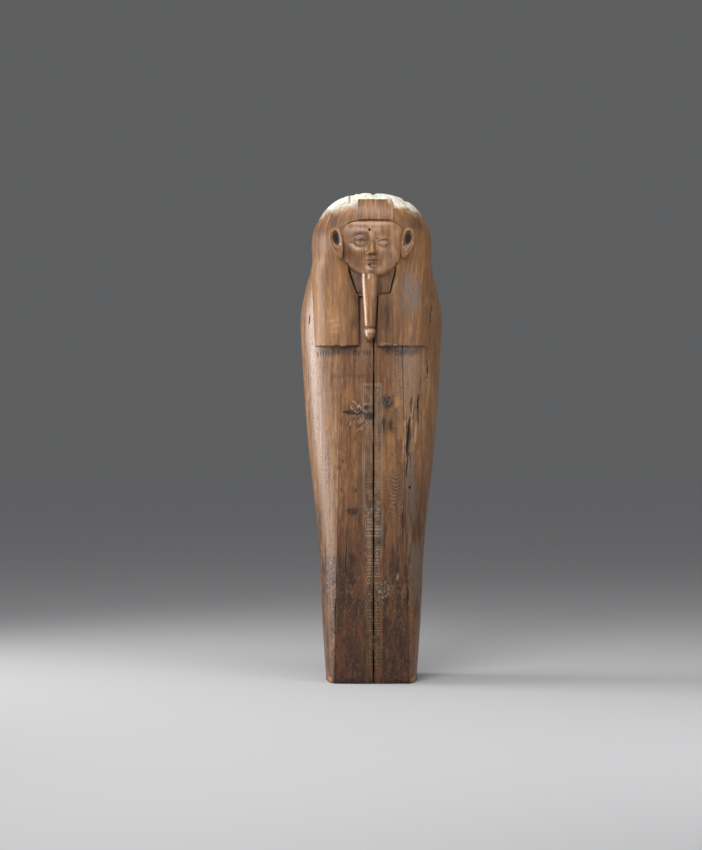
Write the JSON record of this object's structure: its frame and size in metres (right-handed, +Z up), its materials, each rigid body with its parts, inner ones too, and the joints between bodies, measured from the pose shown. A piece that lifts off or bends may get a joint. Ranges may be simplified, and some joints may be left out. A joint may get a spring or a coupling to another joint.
{
  "type": "anthropoid wooden coffin",
  "caption": "Upright man-shaped wooden coffin of planks, with a plain wig, face mask, ears and false beard on a lid that lifts off a flat-backed case.",
  "frame": {"origin": "centre of the bounding box on the floor under the foot end", "axes": "+Z up along the body, -Y toward the front of the lid, +X to the right seen from the front"},
  "size_m": [0.5542, 0.5, 1.9],
  "materials": {
    "plank": "waxed brown wood",
    "dark": "dark stained wood",
    "carved": "smooth carved wood",
    "joinery": "plain split wood"
  },
  "bodies": {
    "case": {"case_left_floor_plank": "plank", "case_right_floor_plank": "plank", "case_left_side_plank": "plank", "case_right_side_plank": "plank", "case_left_head_block": "plank", "case_right_head_block": "plank", "case_foot_board": "dark", "case_floor_tenons": "joinery", "case_floor_dowels": "joinery", "case_head_dowels": "joinery", "case_foot_dowels": "joinery", "rim_tenons": "joinery", "rim_tenon_pegs": "joinery"},
    "lid": {"lid_left_front_plank": "plank", "lid_right_front_plank": "plank", "lid_left_side_plank": "plank", "lid_right_side_plank": "plank", "lid_foot_board": "dark", "lid_centre_tenons": "joinery", "lid_side_dowels": "joinery", "lid_foot_dowels": "joinery", "left_wig_block": "carved", "right_wig_block": "carved", "wig_neck_dowels": "joinery", "wig_crown_dowels": "joinery", "left_lappet": "carved", "right_lappet": "carved", "lappet_pegs": "joinery", "brow_inset": "dark", "face_mask": "carved", "face_pegs": "joinery", "left_ear": "carved", "right_ear": "carved", "ear_pegs": "joinery", "beard": "dark", "beard_peg": "joinery"}
  },
  "joints": [
    {"name": "lid_lift", "type": "slide", "parent": "case", "child": "lid", "axis": [0, -1, 0], "range_m": [0, 0.45]}
  ]
}
